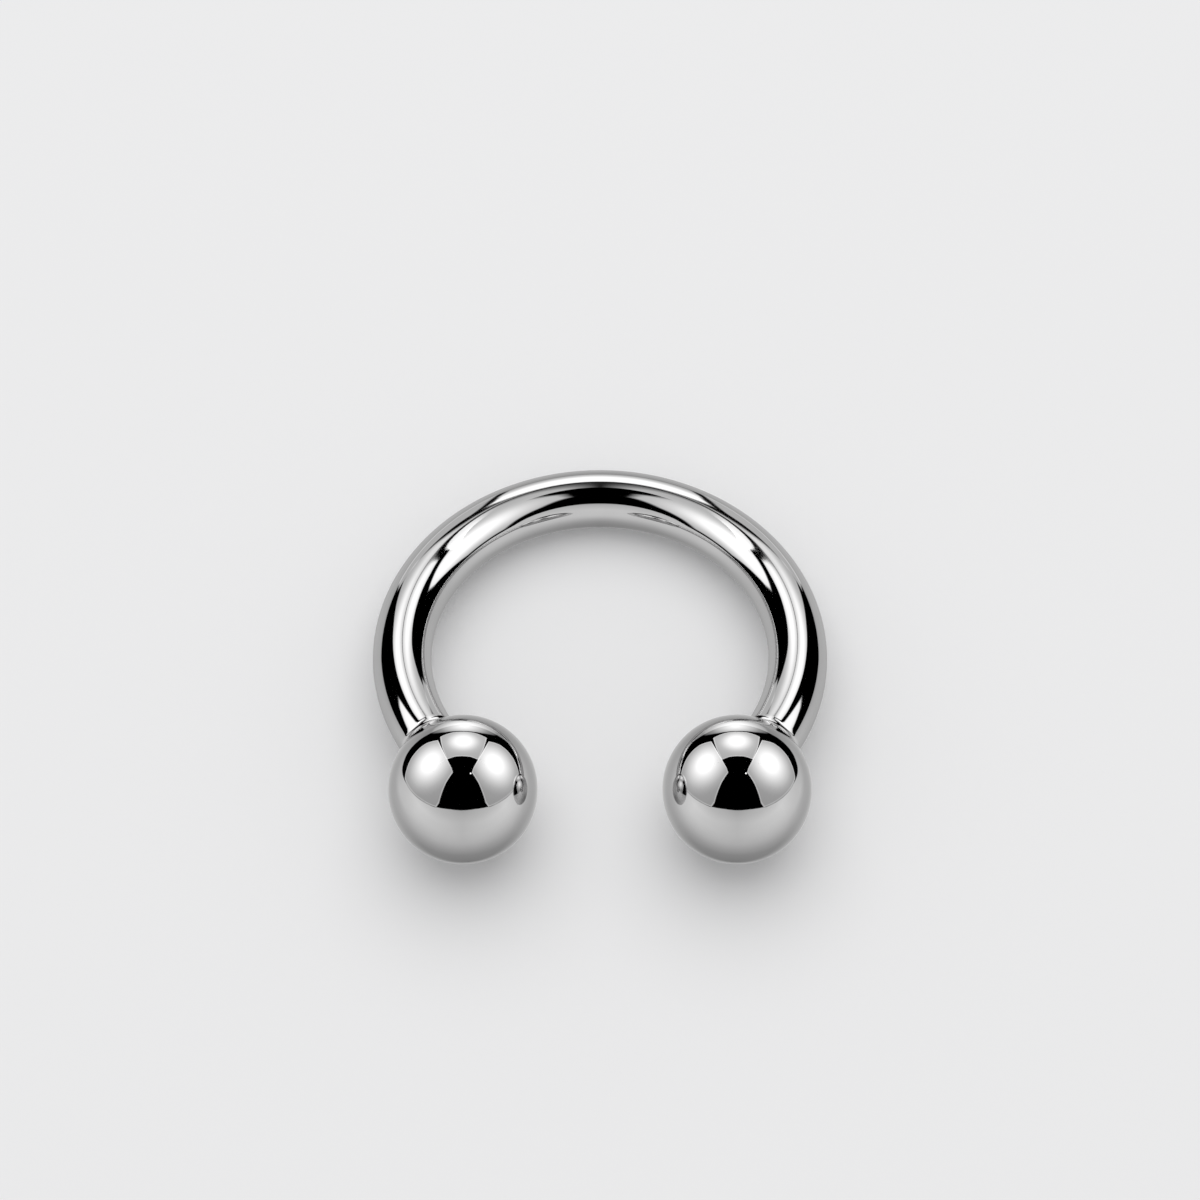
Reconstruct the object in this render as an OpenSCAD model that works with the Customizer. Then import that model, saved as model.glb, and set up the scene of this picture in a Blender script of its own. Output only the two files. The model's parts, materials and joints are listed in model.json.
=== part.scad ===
// Horseshoe barbell: a round bar bent into an open ring, with a ball screwed onto each end.
// It lies as it rests by itself, on both balls and on the far side of the bar.
// X runs left to right, +Y points away from the opening, and the surface under it is Z = 0.

/* [Bar] */
// Diameter of the round bar
bar_d = 4; // [3.7:0.1:5]
// Inside diameter of the bent ring
inside_d = 23; // [20:0.5:30]
// Angle that the bend spans, in degrees
bend_angle = 240; // [225:1:250]
// Radius of the rounded edge at each end of the bar
end_round = 0.3; // [0.1:0.05:0.4]

/* [Screw pins] */
// Diameter of the pin on each end of the bar
pin_d = 2.5; // [1.8:0.1:2.8]
// Length of each pin beyond the bar's shoulder
pin_length = 4; // [2.5:0.1:5]
// Chamfer round the tip of each pin
pin_chamfer = 0.3; // [0.1:0.05:0.5]

/* [Balls] */
// Diameter of each ball
ball_d = 10; // [8:0.5:12]
// Depth of the hole beyond the pin's tip
hole_spare = 0.5; // [0.2:0.1:1]
// Angle of the cone that the drill leaves at the bottom of the hole, in degrees
drill_point = 118; // [90:1:140]
// Chamfer round the mouth of the hole
mouth_chamfer = 0.15; // [0.05:0.05:0.2]

/* [Fits] */
// Radial clearance between a pin and its hole
pin_clearance = 0.05; // [0.02:0.01:0.1]
// Gap between the bar's shoulder and the ball's flat seat
seat_gap = 0.03; // [0.01:0.01:0.1]

/* [Hidden] */
$fn = 96;

polished_steel = [0.82, 0.82, 0.83];

// The bar's own radii. The flat shoulder is what the rounded edge leaves of the bar's end.
bar_r = bar_d / 2;
bend_r = inside_d / 2 + bar_r;
shoulder_r = bar_r - end_round;
pin_r = pin_d / 2;

// The ball's flat seat has the shoulder's radius, which sets how far the seat is from the ball's centre.
ball_r = ball_d / 2;
seat_height = sqrt(pow(ball_r, 2) - pow(shoulder_r, 2));
hole_r = pin_r + pin_clearance;
drill_cone = hole_r / tan(drill_point / 2);

// The core of each end reaches back inside the bend, so that the bar is one solid.
core_depth = shoulder_r / 4;

// Heights along a pin's axis, from the end of the bend.
seat_z = end_round + seat_gap;
ball_z = seat_z + seat_height;
pin_tip_z = end_round + pin_length;
hole_end_z = pin_tip_z + hole_spare;

// How far each ball's centre lies in front of the bend's own centre, in the plane of the bend.
end_angle = (bend_angle - 180) / 2;
ball_y = bend_r * sin(end_angle) + ball_z * cos(end_angle);

// The balls are thicker than the bar, so the far side of the bar drops until it touches the surface.
rest_tilt = asin((ball_r - bar_r) / (ball_y + bend_r));
centre_z = ball_r - ball_y * sin(rest_tilt);

// This moves the middle of the whole piece, front to back, over the origin.
front_reach = ball_y * cos(rest_tilt) + ball_r;
back_reach = bend_r * cos(rest_tilt) + bar_r;
centre_y = (front_reach - back_reach) / 2;

// Tilts what was made flat round the bend's centre, and sets it down on the surface.
module at_rest() {
    translate([0, centre_y, centre_z])
        rotate([-rest_tilt, 0, 0])
            children();
}

// Stands children on the bend's right end, with their +Z along the pin.
module on_right_end() {
    rotate([0, 0, -end_angle])
        translate([bend_r, 0, 0])
            rotate([90, 0, 0])
                children();
}

// Stands children on the bend's left end in the same way.
module on_left_end() {
    mirror([1, 0, 0])
        on_right_end()
            children();
}

// The round bar bent along its arc.
module bend() {
    rotate([0, 0, -end_angle])
        rotate_extrude(angle = bend_angle)
            translate([bend_r, 0])
                circle(r = bar_r);
}

// Half the outline of one end: its core, the rounded edge, the flat shoulder and the pin with its chamfered tip.
module end_outline() {
    translate([0, -core_depth])
        square([shoulder_r, core_depth + end_round]);
    translate([shoulder_r, 0])
        intersection() {
            circle(r = end_round);
            square(end_round);
        }
    polygon([
        [0, end_round],
        [pin_r, end_round],
        [pin_r, pin_tip_z - pin_chamfer],
        [pin_r - pin_chamfer, pin_tip_z],
        [0, pin_tip_z]
    ]);
}

module bar() {
    color(polished_steel)
        at_rest() {
            bend();
            on_right_end()
                rotate_extrude()
                    end_outline();
            on_left_end()
                rotate_extrude()
                    end_outline();
        }
}

// The blind hole: its chamfered mouth, its wall and the drill's cone at the bottom.
module screw_hole() {
    translate([0, 0, seat_z])
        cylinder(r1 = hole_r + mouth_chamfer, r2 = hole_r, h = mouth_chamfer);
    translate([0, 0, seat_z])
        cylinder(r = hole_r, h = hole_end_z - seat_z);
    translate([0, 0, hole_end_z])
        cylinder(r1 = hole_r, r2 = 0, h = drill_cone);
}

// One ball on the pin's axis. The cut that leaves its flat seat is as wide as the bar.
module ball() {
    difference() {
        translate([0, 0, ball_z])
            sphere(r = ball_r);
        translate([0, 0, seat_z - ball_r])
            cylinder(r = bar_r, h = ball_r);
        screw_hole();
    }
}

module left_ball() {
    color(polished_steel)
        at_rest()
            on_left_end()
                ball();
}

module right_ball() {
    color(polished_steel)
        at_rest()
            on_right_end()
                ball();
}

bar();
left_ball();
right_ball();
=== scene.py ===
"""Horseshoe barbell of mirror-polished steel, lying on a pale table in a soft studio."""

import json
import math

import bmesh
import bpy
import numpy as np
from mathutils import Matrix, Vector


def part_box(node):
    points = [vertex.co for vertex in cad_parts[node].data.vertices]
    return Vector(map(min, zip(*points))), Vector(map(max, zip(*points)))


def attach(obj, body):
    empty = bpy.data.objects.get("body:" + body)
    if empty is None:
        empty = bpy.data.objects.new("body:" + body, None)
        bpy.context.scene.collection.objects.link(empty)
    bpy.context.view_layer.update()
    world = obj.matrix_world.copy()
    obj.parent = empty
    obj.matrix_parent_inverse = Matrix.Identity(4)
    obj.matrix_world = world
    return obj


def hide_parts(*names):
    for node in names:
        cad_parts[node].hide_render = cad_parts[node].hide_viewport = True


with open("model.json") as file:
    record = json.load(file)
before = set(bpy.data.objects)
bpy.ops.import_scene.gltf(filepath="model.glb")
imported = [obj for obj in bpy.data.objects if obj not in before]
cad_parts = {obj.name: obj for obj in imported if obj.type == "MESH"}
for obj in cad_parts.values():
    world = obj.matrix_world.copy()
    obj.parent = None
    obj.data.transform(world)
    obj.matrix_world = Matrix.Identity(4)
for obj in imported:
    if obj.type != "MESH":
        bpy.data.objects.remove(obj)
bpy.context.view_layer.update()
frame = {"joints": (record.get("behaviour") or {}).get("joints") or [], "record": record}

MM = 0.001

# What the frame gives. The mount is the middle of the closed side, where the bar rests on the surface.
# FORWARD points from there to the opening, in the plane of the bend, and END_ANGLE is how far the bend
# goes on past its widest place.
joints = {joint["child"]: joint for joint in frame["joints"]}
mount = frame["record"]["mounts"][0]
bend_top = Vector(mount["pos_m"])
BAR_R = bend_top.z
BEND_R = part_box("bar")[1].x - BAR_R
PIN_AXIS = {side: Vector(joints[side + "_ball"]["axis"]).normalized() for side in ("left", "right")}
FORWARD = (PIN_AXIS["left"] + PIN_AXIS["right"]).normalized()
ACROSS = Vector((1, 0, 0))
BEND_NORMAL = FORWARD.cross(ACROSS).normalized()
END_ANGLE = math.asin(PIN_AXIS["left"].dot(ACROSS))
BEND_CENTRE = bend_top + BEND_R * FORWARD
BALL_LOW, BALL_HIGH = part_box("right_ball")
BALL_R = (BALL_HIGH.x - BALL_LOW.x) / 2

# Small sizes that the solids share and the frame's boxes don't give.
END_ROUND = 0.3 * MM
SEAT_GAP = 0.03 * MM
PIN_R = 1.25 * MM
PIN_LENGTH = 4 * MM
PIN_CHAMFER = 0.3 * MM
HOLE_R = 1.3 * MM
HOLE_SPARE = 0.5 * MM
MOUTH_CHAMFER = 0.15 * MM
DRILL_POINT = math.radians(118)

# The rounding at each seat and pin, and the screw thread, both of which the solids leave plain. The
# thread's flank begins and ends at these shares of a pitch from a crest's middle.
SEAT_EDGE = 0.04 * MM
THREAD_PITCH = 0.45 * MM
FLANK_START = 1 / 16
FLANK_END = 3 / 8
PIN_THREAD_DEPTH = 0.24 * MM
HOLE_THREAD_DEPTH = 0.18 * MM
NECK_LENGTH = 0.3 * MM
RUN_IN_SLOPE = 1.2

# How finely the meshes are cut.
ROWS_PER_PITCH = 14
BAR_SIDES = 96
BEND_STEPS = 300
BALL_SIDES = 160
BALL_STEPS = 120
EDGE_STEPS = 8
SHARP_ANGLE = math.radians(32)

# The camera: its angle over the table, its distance, and how large the bend is and how far its centre
# lies below the middle, both in pixels of a picture that is PICTURE_PIXELS wide.
VIEW_ELEVATION = math.radians(61)
VIEW_DISTANCE = 25 * BEND_R
PICTURE_PIXELS = 1200
PIXELS_PER_BEND_R = 197.7
CENTRE_BELOW_MIDDLE = 55
SENSOR_MM = 36
CLIP_SHARE = 0.02

# The softboxes stand on a dome round the barbell. RIM_SHARES says where a softbox's mesh has its rows,
# as shares of the way from its hot spot to its outline.
DOME_RADIUS = 0.8
EDGE_CUTS = 16
RIM_SHARES = [
    0.08, 0.16, 0.24, 0.32, 0.4, 0.48, 0.56, 0.64, 0.72,
    0.8, 0.86, 0.91, 0.94, 0.955, 0.965, 0.98, 0.99, 1.0,
]

# How a softbox's light falls from its hot spot: (degrees away, strength).
BALL_SIDE_FALL = [(0, 2.0), (10, 1.8), (15, 1.55), (19, 1.33), (27, 0.97), (35, 0.67), (43, 0.52), (60, 0.47)]
BALL_BACK_FALL = [(0, 1.9), (8, 1.7), (12, 1.46), (16, 1.14), (20, 0.86), (25, 0.74), (40, 0.64)]
BALL_GLOW_FALL = [(0, 1.8), (8, 1.3), (12, 1.0), (16, 0.74), (20, 0.45), (26, 0.2)]
SPARK_FALL = [(0, 4.0), (0.9, 2.0), (1.6, 0.0)]
BAR_SIDE_FALL = [(0, 1.9), (15, 1.65), (20, 1.4), (26, 1.08), (32, 0.86), (40, 0.74), (60, 0.64)]
BAR_BACK_FALL = [(0, 1.8), (6, 1.6), (12, 1.15), (18, 0.85), (25, 0.7)]
BAR_CROWN_FALL = [(0, 1.8), (12, 1.6), (18, 1.1), (25, 0.75), (33, 0.5)]
EVEN_FALL = [(0, 0.66), (90, 0.66)]

# How its strength changes towards its outline: (share of the way from the hot spot, factor).
BRIGHT_RIM = [(0, 1.0), (0.955, 1.0), (0.965, 1.5), (0.99, 1.5), (1.0, 0.0)]
SOFT_RIM = [(0, 1.0), (0.91, 1.0), (1.0, 0.0)]

# The softboxes that the balls reflect: (name, paired, outline, hot spot, fall, rim). Outlines and hot
# spots are (azimuth, elevation) in degrees, as seen from the barbell, with azimuth 0 at the front and
# 90 at the right. A paired softbox has a mirrored twin on the left.
BALL_SOFTBOXES = [
    (
        "side_box_on_balls",
        True,
        [
            (42, 22), (41, 30), (46, 44), (56, 60), (82, 76), (110, 73), (138, 53), (150, 21),
            (141, 10), (134, 5), (124, 0), (104, -6), (90, 1), (66, 13),
        ],
        (114, 38),
        BALL_SIDE_FALL,
        BRIGHT_RIM,
    ),
    (
        "back_box_on_balls",
        False,
        [
            (154.5, 17), (145, 40), (132, 60), (155, 64), (180, 66), (-155, 64),
            (-132, 60), (-145, 40), (-154.5, 17), (-168, 17), (180, 18), (168, 17),
        ],
        (180, 38),
        BALL_BACK_FALL,
        BRIGHT_RIM,
    ),
    (
        "back_glow_on_balls",
        False,
        [
            (168, -18), (157, -12), (152, -4), (152.5, 2), (156, 7), (161, 12),
            (170, 15.5), (180, 17), (-170, 15.5), (-161, 12), (-156, 7),
            (-152.5, 2), (-152, -4), (-157, -12), (-168, -18), (180, -20),
        ],
        (180, 3),
        BALL_GLOW_FALL,
        SOFT_RIM,
    ),
    (
        "spark_on_balls",
        False,
        [(71, 78.0), (78, 78.3), (83, 77.2), (79, 76.3), (71, 76.3), (67, 77.2)],
        (75, 77.2),
        SPARK_FALL,
        SOFT_RIM,
    ),
]

# The softboxes that the bar reflects, in the same form.
BAR_SOFTBOXES = [
    (
        "side_box_on_bar",
        True,
        [
            (54, 20), (50, 34), (39, 52), (27, 72), (50, 80), (90, 83), (130, 78), (150, 73),
            (180, 73), (180, 50), (170, 57), (160, 61), (150, 61), (140, 59), (130, 54), (122, 42),
            (119, 33), (110, 26), (98, 20), (88, 15), (78, 10), (66, 14),
        ],
        (95, 45),
        BAR_SIDE_FALL,
        SOFT_RIM,
    ),
    (
        "back_box_on_bar",
        True,
        [
            (146, 12), (144, 22), (144, 32), (139, 42), (137, 50), (143, 54), (155, 54),
            (168, 52), (180, 48), (180, 46), (172, 39), (162, 28), (152, 16),
        ],
        (157, 47),
        BAR_BACK_FALL,
        SOFT_RIM,
    ),
    (
        "crown_glow_on_bar",
        False,
        [(168, 0), (168, 15), (171, 33), (180, 47), (-171, 33), (-168, 15), (-168, 0)],
        (180, 33),
        BAR_CROWN_FALL,
        SOFT_RIM,
    ),
    (
        "rear_haze_on_bar",
        True,
        [(142, -2), (142, 9), (151, 18), (163, 27), (169, 31), (167, 15), (167, -2)],
        (157, 9),
        EVEN_FALL,
        SOFT_RIM,
    ),
]

# The table and the pale screen round it, as the steel reflects them. EDGE says how high they reach:
# (azimuth, elevation). PROFILES gives their strength at a few azimuths: (azimuth, [(elevation, strength)]).
# The left half mirrors the right.
BALL_SCREEN_EDGE = [
    (0, 30.2), (10, 30), (20, 29.2), (30, 26.8), (40, 23.5), (44, 21.2), (54, 18), (66, 12.9),
    (78, 7.2), (90, 1.1), (97, -2.4), (104, -7.2), (110, -11), (115, -13.5), (120, -15), (130, -15.5),
    (135, -14), (140, -11.5), (145, -8.5), (150, -5), (157, -2), (165, -1), (180, -1),
]
BALL_SCREEN_PROFILES = [
    (
        0,
        [
            (-90, 0.25), (-60, 0.36), (-45, 0.5), (-30, 0.66), (-20, 0.71), (-10, 0.74),
            (10, 0.73), (20, 0.66), (30, 0.55),
        ],
    ),
    (
        65,
        [(-90, 0.27), (-60, 0.37), (-45, 0.5), (-30, 0.69), (-20, 0.81), (-10, 0.91), (5, 0.99), (20, 0.8)],
    ),
    (100, [(-90, 0.3), (-60, 0.51), (-45, 0.53), (-30, 0.61), (-20, 0.8), (-5, 0.8)]),
    (150, [(-90, 0.4), (-60, 0.63), (-45, 0.58), (-30, 0.5), (-20, 0.44), (-10, 0.38), (-5, 0.4)]),
]
BAR_SCREEN_EDGE = [
    (0, 40.5), (10, 40.3), (20, 39), (30, 36), (38, 32), (44, 27), (50, 18), (55, 14.5),
    (60, 12.5), (70, 8), (80, 4.5), (90, 2), (100, 0.5), (110, -1.5), (120, -2.5), (130, -0.5),
    (140, 1.5), (150, 1), (165, 0.5), (180, 0.5),
]
BAR_SCREEN_PROFILES = [
    (
        0,
        [
            (-90, 0.3), (-60, 0.38), (-45, 0.45), (-30, 0.6), (-20, 0.74), (-10, 0.83),
            (15, 0.87), (25, 0.76), (35, 0.66), (40, 0.5),
        ],
    ),
    (65, [(-90, 0.3), (-60, 0.46), (-45, 0.6), (-30, 0.74), (-20, 0.8), (-5, 0.83), (10, 0.78)]),
    (105, [(-90, 0.35), (-60, 0.5), (-45, 0.58), (-30, 0.62), (-20, 0.63), (-10, 0.6), (0, 0.5)]),
    (145, [(-90, 0.35), (-60, 0.44), (-45, 0.56), (-30, 0.62), (-20, 0.6), (-10, 0.62), (0, 0.5)]),
    (180, [(-90, 0.3), (-60, 0.4), (-45, 0.5), (-30, 0.6), (-20, 0.58), (-10, 0.5), (0, 0.5)]),
]

# The screens' dome: where its lowest row is, how many azimuths and rows its mesh has, and over how
# many degrees its edge fades.
SCREEN_RADIUS = 0.82
SCREEN_FOOT = -89.5
SCREEN_AZIMUTHS = 240
SCREEN_ROWS = 70
SCREEN_SOFT_EDGE = 0.5

# The table and what lights it.
TABLE_SIZE = 12.0
TABLE_COLOUR = (0.86, 0.86, 0.866)
TABLE_ROUGHNESS = 0.8
DAYLIGHT = 0.62
OVERHEAD_HEIGHT = 1.0
OVERHEAD_BACK = 0.35
OVERHEAD_SIZE = 1.6
OVERHEAD_STRENGTH = 1.0

# The steel. NOISE_RANGE is where a noise has nearly all its values. A finish has its tones as shares of
# STEEL_COLOUR, its roughness from least to most, and its bump as (strength, height).
STEEL_COLOUR = (0.633, 0.63, 0.631)
NOISE_RANGE = (0.3, 0.7)

MARKS_PER_M = 30000
MARK_STRETCH = (1.0, 9.0, 3.0)
HAZE_PATCHES_PER_M = 500
HAZY_MARKS_RANGE = (0.12, 0.42)
POLISH_TONES = (0.965, 1.0)
BAR_ROUGHNESS = (0.02, 0.06)
BALL_ROUGHNESS = (0.015, 0.045)
POLISH_BUMP = (0.05, 0.002 * MM)

TURNING_LINES_PER_M = 45000
MACHINED_TONES = (0.84, 0.95)
MACHINED_ROUGHNESS = (0.14, 0.28)
MACHINED_BUMP = (0.3, 0.004 * MM)
MACHINED_MARGIN = 0.01


def ring(centre, out, up, radius, sides, hand=1):
    """Points of one ring round centre, in the plane of out and up.

    radius is a number, or a function of the share of a turn, counted the other way where hand is -1.
    """
    points = []
    for i in range(sides):
        turn = i / sides
        r = radius(hand * turn) if callable(radius) else radius
        angle = 2 * math.pi * turn
        points.append(centre + r * (math.cos(angle) * out + math.sin(angle) * up))
    return points


def skin(name, rings, first, last):
    """A closed mesh through rings of equal length, and through a point at each end."""
    sides = len(rings[0])
    points = [p for r in rings for p in r]
    faces = []
    for row in range(len(rings) - 1):
        for i in range(sides):
            j = (i + 1) % sides
            a, b = row * sides, (row + 1) * sides
            faces.append((a + i, a + j, b + j, b + i))
    for tip, row, turned in ((first, 0, True), (last, len(rings) - 1, False)):
        points.append(tip)
        for i in range(sides):
            j = (i + 1) % sides
            a, b = row * sides + i, row * sides + j
            faces.append((b, a, len(points) - 1) if turned else (a, b, len(points) - 1))
    mesh = bpy.data.meshes.new(name)
    mesh.from_pydata([tuple(p) for p in points], [], faces)
    mesh.validate()
    for polygon in mesh.polygons:
        polygon.use_smooth = True
    mesh.set_sharp_from_angle(angle=SHARP_ANGLE)
    piece = bpy.data.objects.new(name, mesh)
    bpy.context.scene.collection.objects.link(piece)
    return piece


def outward(piece):
    """Turns the faces of a closed mesh outward."""
    work = bmesh.new()
    work.from_mesh(piece.data)
    bmesh.ops.recalc_face_normals(work, faces=work.faces)
    work.to_mesh(piece.data)
    work.free()


def thread_share(height, turn):
    """How deep a thread is cut at that height and turn, from 0 at its crest to 1 at its root."""
    phase = height / THREAD_PITCH - turn
    off_crest = abs(phase - round(phase))
    return min(1.0, max(0.0, (off_crest - FLANK_START) / (FLANK_END - FLANK_START)))


def bend_direction(phi):
    """From the bend's centre to the bar: phi is 0 at the right, and a quarter turn at the closed side."""
    return math.cos(phi) * ACROSS - math.sin(phi) * FORWARD


def end_rings(side, phi):
    """The rings of one end of the bar, from the end of the bend, at phi, to the pin's tip."""
    radial = bend_direction(phi)
    centre = BEND_CENTRE + BEND_R * radial
    axis = PIN_AXIS[side]
    hand = 1 if radial.cross(BEND_NORMAL).dot(axis) > 0 else -1
    shoulder_r = BAR_R - END_ROUND

    def at(height, radius):
        return ring(centre + height * axis, radial, BEND_NORMAL, radius, BAR_SIDES, hand)

    rows = []
    for i in range(1, EDGE_STEPS + 1):
        a = math.pi / 2 * i / EDGE_STEPS
        rows.append(at(END_ROUND * math.sin(a), shoulder_r + END_ROUND * math.cos(a)))
    neck_r = PIN_R - PIN_THREAD_DEPTH
    rows.append(at(END_ROUND, neck_r + SEAT_EDGE))
    for i in range(1, EDGE_STEPS + 1):
        a = math.pi / 2 * i / EDGE_STEPS
        rows.append(at(END_ROUND + SEAT_EDGE * (1 - math.cos(a)), neck_r + SEAT_EDGE * (1 - math.sin(a))))
    steps = round((PIN_LENGTH - NECK_LENGTH) / THREAD_PITCH * ROWS_PER_PITCH)
    for i in range(steps + 1):
        height = NECK_LENGTH + (PIN_LENGTH - NECK_LENGTH) * i / steps
        run_in = neck_r + (height - NECK_LENGTH) * RUN_IN_SLOPE
        tip = PIN_R - max(0.0, height - (PIN_LENGTH - PIN_CHAMFER))

        def radius(turn, height=height, run_in=run_in, tip=tip):
            cut = PIN_R - PIN_THREAD_DEPTH * thread_share(height, turn)
            return min(cut, max(run_in, neck_r), tip)

        rows.append(at(END_ROUND + height, radius))
    return rows, centre + (END_ROUND + PIN_LENGTH) * axis


def make_bar():
    """The bent bar with its two screw pins, as one mesh from pin tip to pin tip."""
    right_rows, right_tip = end_rings("right", -END_ANGLE)
    left_rows, left_tip = end_rings("left", math.pi + END_ANGLE)
    rows = right_rows[::-1]
    for i in range(BEND_STEPS + 1):
        radial = bend_direction(-END_ANGLE + (math.pi + 2 * END_ANGLE) * i / BEND_STEPS)
        rows.append(ring(BEND_CENTRE + BEND_R * radial, radial, BEND_NORMAL, BAR_R, BAR_SIDES))
    rows += left_rows
    piece = skin("bent_bar", rows, right_tip, left_tip)
    outward(piece)
    return piece


def make_ball(side):
    """One ball with its flat seat and threaded hole, made round the pin's axis."""
    low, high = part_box(side + "_ball")
    centre = (low + high) / 2
    axis = -PIN_AXIS[side]
    out = axis.cross(BEND_NORMAL).normalized()
    up = axis.cross(out)
    seat_r = BAR_R - END_ROUND
    seat = math.sqrt(BALL_R**2 - seat_r**2)
    edge_height = seat - SEAT_EDGE
    edge_r = math.sqrt((BALL_R - SEAT_EDGE) ** 2 - edge_height**2)
    edge_angle = math.atan2(edge_r, edge_height)

    def at(height, radius):
        return ring(centre + height * axis, out, up, radius, BALL_SIDES)

    rows = []
    for i in range(1, BALL_STEPS + 1):
        a = math.pi - (math.pi - edge_angle) * i / BALL_STEPS
        rows.append(at(BALL_R * math.cos(a), BALL_R * math.sin(a)))
    for i in range(1, EDGE_STEPS + 1):
        a = edge_angle * (1 - i / EDGE_STEPS)
        rows.append(at(edge_height + SEAT_EDGE * math.cos(a), edge_r + SEAT_EDGE * math.sin(a)))
    rows.append(at(seat, HOLE_R + MOUTH_CHAMFER))
    depth = PIN_LENGTH + HOLE_SPARE - SEAT_GAP
    steps = round((depth - MOUTH_CHAMFER) / THREAD_PITCH * ROWS_PER_PITCH)
    for i in range(steps + 1):
        height = MOUTH_CHAMFER + (depth - MOUTH_CHAMFER) * i / steps
        fade = min(1.0, (depth - height) / THREAD_PITCH)

        def radius(turn, height=height, fade=fade):
            return HOLE_R + HOLE_THREAD_DEPTH * fade * thread_share(height, turn)

        rows.append(at(seat - height, radius))
    tip = centre + (seat - depth - HOLE_R / math.tan(DRILL_POINT / 2)) * axis
    piece = skin(side + "_steel_ball", rows, centre - BALL_R * axis, tip)
    outward(piece)
    return piece


def metal(name):
    """A new metal material, with its nodes and its shader."""
    material = bpy.data.materials.new(name)
    material.use_nodes = True
    shader = material.node_tree.nodes["Principled BSDF"]
    shader.inputs["Metallic"].default_value = 1.0
    return material, material.node_tree, shader


def noise(tree, patches_per_m, detail, roughness=0.5):
    """A noise texture of that fineness."""
    texture = tree.nodes.new("ShaderNodeTexNoise")
    texture.inputs["Scale"].default_value = patches_per_m
    texture.inputs["Detail"].default_value = detail
    texture.inputs["Roughness"].default_value = roughness
    return texture


def colour_by(tree, value, tones, shader):
    """Shades the steel's colour from the first tone to the second as a noise rises."""
    ramp = tree.nodes.new("ShaderNodeValToRGB")
    for end, position, tone in zip(ramp.color_ramp.elements, NOISE_RANGE, tones):
        end.position = position
        end.color = (*[tone * c for c in STEEL_COLOUR], 1.0)
    tree.links.new(value, ramp.inputs["Fac"])
    tree.links.new(ramp.outputs["Color"], shader.inputs["Base Color"])


def roughen_by(tree, value, value_range, roughness, shader):
    """Takes the roughness from least to most as a value goes through its range."""
    spread = tree.nodes.new("ShaderNodeMapRange")
    spread.inputs["From Min"].default_value, spread.inputs["From Max"].default_value = value_range
    spread.inputs["To Min"].default_value, spread.inputs["To Max"].default_value = roughness
    tree.links.new(value, spread.inputs["Value"])
    tree.links.new(spread.outputs["Result"], shader.inputs["Roughness"])


def bump_by(tree, value, bump, shader):
    """Raises the surface with a value. bump is (strength, height)."""
    relief = tree.nodes.new("ShaderNodeBump")
    relief.inputs["Strength"].default_value, relief.inputs["Distance"].default_value = bump
    tree.links.new(value, relief.inputs["Height"])
    tree.links.new(relief.outputs["Normal"], shader.inputs["Normal"])


def polished_steel(name, roughness):
    """Mirror-polished steel: very fine polishing marks, a faint haze and a little waviness."""
    material, tree, shader = metal(name)
    where = tree.nodes.new("ShaderNodeTexCoord")
    stretch = tree.nodes.new("ShaderNodeMapping")
    stretch.inputs["Scale"].default_value = MARK_STRETCH
    tree.links.new(where.outputs["Object"], stretch.inputs["Vector"])
    marks = noise(tree, MARKS_PER_M, detail=6.0, roughness=0.7)
    tree.links.new(stretch.outputs["Vector"], marks.inputs["Vector"])
    haze = noise(tree, HAZE_PATCHES_PER_M, detail=4.0)
    tree.links.new(where.outputs["Object"], haze.inputs["Vector"])
    hazy_marks = tree.nodes.new("ShaderNodeMath")
    hazy_marks.operation = "MULTIPLY"
    tree.links.new(marks.outputs["Fac"], hazy_marks.inputs[0])
    tree.links.new(haze.outputs["Fac"], hazy_marks.inputs[1])
    colour_by(tree, haze.outputs["Fac"], POLISH_TONES, shader)
    roughen_by(tree, hazy_marks.outputs["Value"], HAZY_MARKS_RANGE, roughness, shader)
    bump_by(tree, marks.outputs["Fac"], POLISH_BUMP, shader)
    return material


def machined_steel(name, axis):
    """Steel as the lathe leaves it: a soft sheen with fine turning lines round the axis."""
    material, tree, shader = metal(name)
    where = tree.nodes.new("ShaderNodeTexCoord")
    along = tree.nodes.new("ShaderNodeVectorMath")
    along.operation = "DOT_PRODUCT"
    along.inputs[1].default_value = tuple(axis)
    tree.links.new(where.outputs["Object"], along.inputs[0])
    lines = noise(tree, TURNING_LINES_PER_M, detail=3.0)
    lines.noise_dimensions = "1D"
    tree.links.new(along.outputs["Value"], lines.inputs["W"])
    colour_by(tree, lines.outputs["Fac"], MACHINED_TONES, shader)
    roughen_by(tree, lines.outputs["Fac"], NOISE_RANGE, MACHINED_ROUGHNESS, shader)
    bump_by(tree, lines.outputs["Fac"], MACHINED_BUMP, shader)
    return material


def machine(piece, side, material):
    """Gives one side's pin or hole, and the flat round it, the machined steel instead of the polish."""
    start = BEND_CENTRE + BEND_R * bend_direction(-END_ANGLE if side == "right" else math.pi + END_ANGLE)
    deepest = END_ROUND + PIN_LENGTH + HOLE_SPARE + HOLE_R / math.tan(DRILL_POINT / 2)
    piece.data.materials.append(material)
    slot = len(piece.data.materials) - 1
    for polygon in piece.data.polygons:
        offset = polygon.center - start
        height = offset.dot(PIN_AXIS[side])
        from_axis = (offset - height * PIN_AXIS[side]).length
        past_shoulder = height > (1 - MACHINED_MARGIN) * END_ROUND
        within_hole = height < (1 + MACHINED_MARGIN) * deepest
        if from_axis < BAR_R - END_ROUND - SEAT_EDGE and past_shoulder and within_hole:
            polygon.material_index = slot


def direction(azimuth, elevation):
    """Unit vector: azimuth 0 points to the front, -Y, and grows towards +X. Both in degrees."""
    a, e = math.radians(azimuth), math.radians(elevation)
    return Vector((math.sin(a) * math.cos(e), -math.cos(a) * math.cos(e), math.sin(e)))


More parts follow.
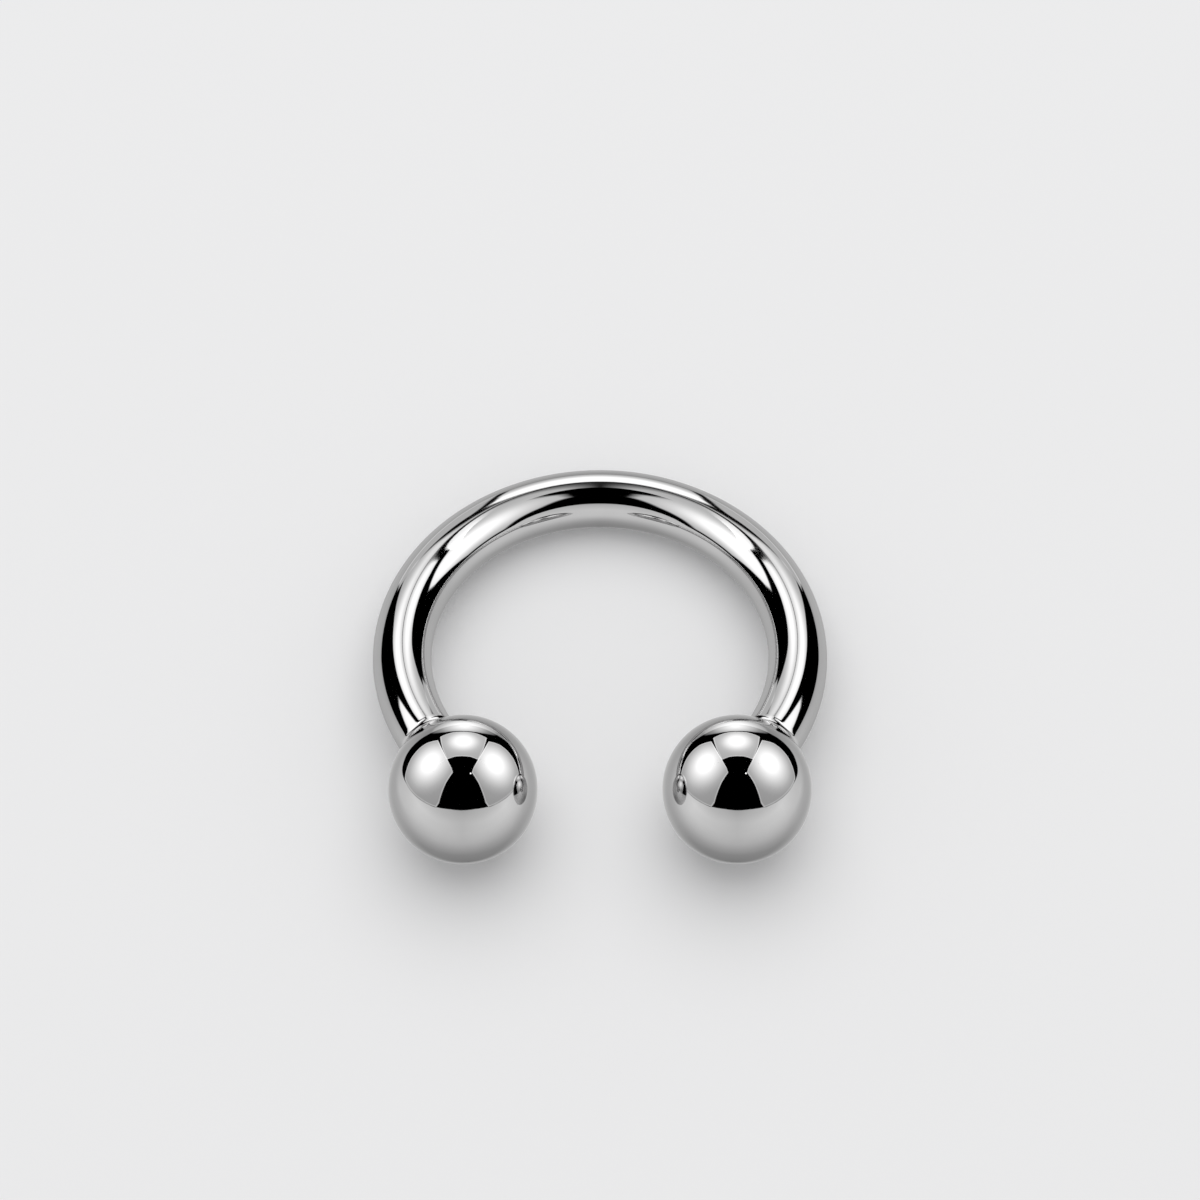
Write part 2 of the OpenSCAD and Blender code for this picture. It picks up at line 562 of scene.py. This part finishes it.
def between(table, x):
    """The value of a table of (x, value) rows at x, in straight lines between the rows."""
    return float(np.interp(x, [row[0] for row in table], [row[1] for row in table]))


def softbox(name, outline, hot, fall, rim, lit, mirrored=False):
    """A light of any outline on the dome, which only the pieces in lit reflect.

    fall gives its strength by degrees from its hot spot, and rim scales that by the share of the way
    from the hot spot to the outline.
    """
    sign = -1 if mirrored else 1
    centre = direction(sign * hot[0], hot[1])
    corners = [direction(sign * azimuth, elevation) for azimuth, elevation in outline]
    edge = []
    for start, end in zip(corners, corners[1:] + corners[:1]):
        edge += [start.slerp(end, k / EDGE_CUTS) for k in range(EDGE_CUTS)]
    points = [centre]
    strengths = [between(fall, 0) * between(rim, 0)]
    for share in RIM_SHARES:
        for look in edge:
            point = centre.slerp(look, share)
            points.append(point)
            away = math.degrees(centre.angle(point))
            strengths.append(between(fall, away) * between(rim, share))
    count = len(edge)
    faces = [(0, 1 + i, 1 + (i + 1) % count) for i in range(count)]
    for row in range(len(RIM_SHARES) - 1):
        for i in range(count):
            j = (i + 1) % count
            low, high = 1 + row * count, 1 + (row + 1) * count
            faces.append((low + i, high + i, high + j, low + j))
    glowing(name, [tuple(BEND_CENTRE + DOME_RADIUS * p) for p in points], faces, strengths, lit)


def screen(name, edge, profiles, lit):
    """The table and the pale screen, as a dome below edge that only the pieces in lit reflect."""
    points, strengths = [], []
    for i in range(SCREEN_AZIMUTHS):
        azimuth = 360 * i / SCREEN_AZIMUTHS - 180
        turned = abs(azimuth)
        top = between(edge, turned)
        for j in range(SCREEN_ROWS + 1):
            if j < SCREEN_ROWS:
                elevation = SCREEN_FOOT + (top - SCREEN_SOFT_EDGE - SCREEN_FOOT) * j / (SCREEN_ROWS - 1)
                levels = [(at, between(profile, elevation)) for at, profile in profiles]
                strengths.append(between(levels, turned))
            else:
                elevation = top
                strengths.append(0.0)
            points.append(tuple(BEND_CENTRE + SCREEN_RADIUS * direction(azimuth, elevation)))
    faces = []
    rows = SCREEN_ROWS + 1
    for i in range(SCREEN_AZIMUTHS):
        k = (i + 1) % SCREEN_AZIMUTHS
        for j in range(SCREEN_ROWS):
            faces.append((i * rows + j, k * rows + j, k * rows + j + 1, i * rows + j + 1))
    glowing(name, points, faces, strengths, lit)


def glowing(name, points, faces, strengths, lit):
    """A mesh that shines with the given strength at each point, and shows only in the pieces in lit."""
    mesh = bpy.data.meshes.new(name)
    mesh.from_pydata(points, [], faces)
    glow = mesh.attributes.new("glow", "FLOAT", "POINT")
    glow.data.foreach_set("value", strengths)
    mesh.materials.append(glow_material())
    box = bpy.data.objects.new(name, mesh)
    bpy.context.scene.collection.objects.link(box)
    box.visible_camera = False
    box.visible_diffuse = False
    box.visible_shadow = False
    box.light_linking.receiver_collection = lit


def glow_material():
    """Light of the strength stored in the mesh. It lets what is behind it shine through."""
    material = bpy.data.materials.get("softbox_glow")
    if material:
        return material
    material = bpy.data.materials.new("softbox_glow")
    material.use_nodes = True
    material.cycles.emission_sampling = "NONE"
    tree = material.node_tree
    tree.nodes.clear()
    stored = tree.nodes.new("ShaderNodeAttribute")
    stored.attribute_name = "glow"
    glow = tree.nodes.new("ShaderNodeEmission")
    clear = tree.nodes.new("ShaderNodeBsdfTransparent")
    both = tree.nodes.new("ShaderNodeAddShader")
    output = tree.nodes.new("ShaderNodeOutputMaterial")
    tree.links.new(stored.outputs["Fac"], glow.inputs["Strength"])
    tree.links.new(glow.outputs["Emission"], both.inputs[0])
    tree.links.new(clear.outputs["BSDF"], both.inputs[1])
    tree.links.new(both.outputs["Shader"], output.inputs["Surface"])
    return material


def make_daylight():
    """Even pale light from all round for the table. The steel reflects the softboxes and screens instead."""
    world = bpy.data.worlds.new("studio")
    bpy.context.scene.world = world
    world.use_nodes = True
    background = world.node_tree.nodes["Background"]
    background.inputs["Color"].default_value = (1.0, 1.0, 1.0, 1.0)
    background.inputs["Strength"].default_value = DAYLIGHT
    world.cycles_visibility.glossy = False


def make_floor():
    """A wide, pale, matt table top. The steel reflects the screens in its place."""
    half = TABLE_SIZE / 2
    corners = [(-half, -half, 0), (half, -half, 0), (half, half, 0), (-half, half, 0)]
    mesh = bpy.data.meshes.new("table_top")
    mesh.from_pydata(corners, [], [(0, 1, 2, 3)])
    material = bpy.data.materials.new("pale_table")
    material.use_nodes = True
    shader = material.node_tree.nodes["Principled BSDF"]
    shader.inputs["Base Color"].default_value = (*TABLE_COLOUR, 1.0)
    shader.inputs["Roughness"].default_value = TABLE_ROUGHNESS
    shader.inputs["Specular IOR Level"].default_value = 0.0
    mesh.materials.append(material)
    floor = bpy.data.objects.new("table_top", mesh)
    bpy.context.scene.collection.objects.link(floor)
    floor.visible_glossy = False


def make_camera():
    """The camera looks down at the opening from in front, from far enough for a long lens."""
    out = Vector((0, -math.cos(VIEW_ELEVATION), math.sin(VIEW_ELEVATION)))
    up = Vector((0, math.sin(VIEW_ELEVATION), math.cos(VIEW_ELEVATION)))
    data = bpy.data.cameras.new("camera")
    data.sensor_width = SENSOR_MM
    data.lens = SENSOR_MM * PIXELS_PER_BEND_R / PICTURE_PIXELS * VIEW_DISTANCE / BEND_R
    data.clip_start = CLIP_SHARE * VIEW_DISTANCE
    camera = bpy.data.objects.new("camera", data)
    bpy.context.scene.collection.objects.link(camera)
    camera.location = BEND_CENTRE + VIEW_DISTANCE * out
    aim = BEND_CENTRE + CENTRE_BELOW_MIDDLE / PIXELS_PER_BEND_R * BEND_R * up
    camera.rotation_mode = "QUATERNION"
    camera.rotation_quaternion = (aim - camera.location).to_track_quat("-Z", "Y")
    bpy.context.scene.camera = camera


def make_overhead_light():
    """A soft round light above and behind, which lights the table and doesn't show in the steel."""
    data = bpy.data.lights.new("overhead_light", "AREA")
    data.shape = "DISK"
    data.size = OVERHEAD_SIZE
    area = math.pi * OVERHEAD_SIZE**2 / 4
    data.energy = math.pi * area * OVERHEAD_STRENGTH
    light = bpy.data.objects.new("overhead_light", data)
    bpy.context.scene.collection.objects.link(light)
    light.location = (0, OVERHEAD_BACK, OVERHEAD_HEIGHT)
    light.rotation_euler = (-math.atan2(OVERHEAD_BACK, OVERHEAD_HEIGHT), 0, 0)
    light.visible_camera = False
    light.visible_glossy = False


def group(name, *pieces):
    """A collection of the pieces that share their backdrops."""
    made = bpy.data.collections.new(name)
    for piece in pieces:
        made.objects.link(piece)
    return made


make_camera()
make_floor()
make_daylight()
make_overhead_light()

machined = {side: machined_steel(side + "_machined", PIN_AXIS[side]) for side in ("left", "right")}

bar_piece = make_bar()
bar_piece.data.materials.append(polished_steel("bar_polish", BAR_ROUGHNESS))
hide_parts("bar")
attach(bar_piece, "bar")
for side in ("left", "right"):
    machine(bar_piece, side, machined[side])

ball_pieces = []
for side in ("left", "right"):
    ball_piece = make_ball(side)
    ball_piece.data.materials.append(polished_steel(side + "_ball_polish", BALL_ROUGHNESS))
    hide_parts(side + "_ball")
    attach(ball_piece, side + "_ball")
    machine(ball_piece, side, machined[side])
    ball_pieces.append(ball_piece)

balls = group("reflects_ball_boxes", *ball_pieces)
bars = group("reflects_bar_boxes", bar_piece)
screen("screen_on_balls", BALL_SCREEN_EDGE, BALL_SCREEN_PROFILES, balls)
screen("screen_on_bar", BAR_SCREEN_EDGE, BAR_SCREEN_PROFILES, bars)
for rows, lit in ((BALL_SOFTBOXES, balls), (BAR_SOFTBOXES, bars)):
    for name, paired, outline, hot, fall, rim in rows:
        softbox(name, outline, hot, fall, rim, lit)
        if paired:
            softbox(name + "_left", outline, hot, fall, rim, lit, mirrored=True)

bpy.context.scene.view_settings.view_transform = "Standard"
